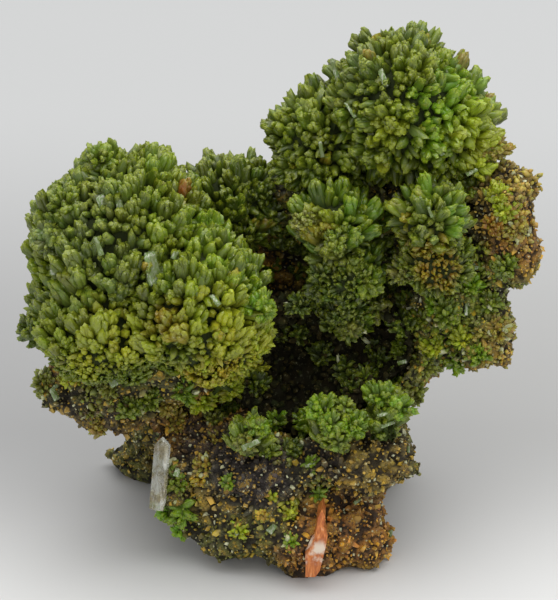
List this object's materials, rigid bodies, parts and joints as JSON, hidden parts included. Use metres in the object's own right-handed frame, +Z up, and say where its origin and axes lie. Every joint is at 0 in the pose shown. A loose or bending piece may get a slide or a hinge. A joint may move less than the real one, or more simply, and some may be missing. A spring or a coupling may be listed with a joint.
{
  "type": "pyromorphite mineral specimen",
  "caption": "Mineral specimen: balls, a dome and sprays of green barrel-shaped pyromorphite crystals round a dark hollow, on rusty brown matrix.",
  "frame": {"origin": "middle of the bounding box at the level of the feet", "axes": "+Z up, +Y to the back of the specimen, +X to the right as seen from the crystal side"},
  "size_m": [0.0727, 0.0402, 0.0774],
  "materials": {
    "matrix": "rough, earthy",
    "pyromorphite": "resinous, translucent",
    "cavity_crust": "drusy, dark",
    "pale_prism": "vitreous, clear to milky",
    "orange_splinter": "satin, banded with white"
  },
  "bodies": {
    "root": {"matrix": "matrix", "left_crystal_ball": "pyromorphite", "right_crystal_dome": "pyromorphite", "middle_crystal_ball": "pyromorphite", "front_crystal_spray": "pyromorphite", "right_crystal_spray": "pyromorphite", "ledge_cluster_left": "pyromorphite", "ledge_cluster_middle": "pyromorphite", "ledge_cluster_right": "pyromorphite", "lower_green_bud": "pyromorphite", "cavity_crust": "cavity_crust", "pale_prism": "pale_prism", "orange_splinter": "orange_splinter"}
  },
  "joints": []
}
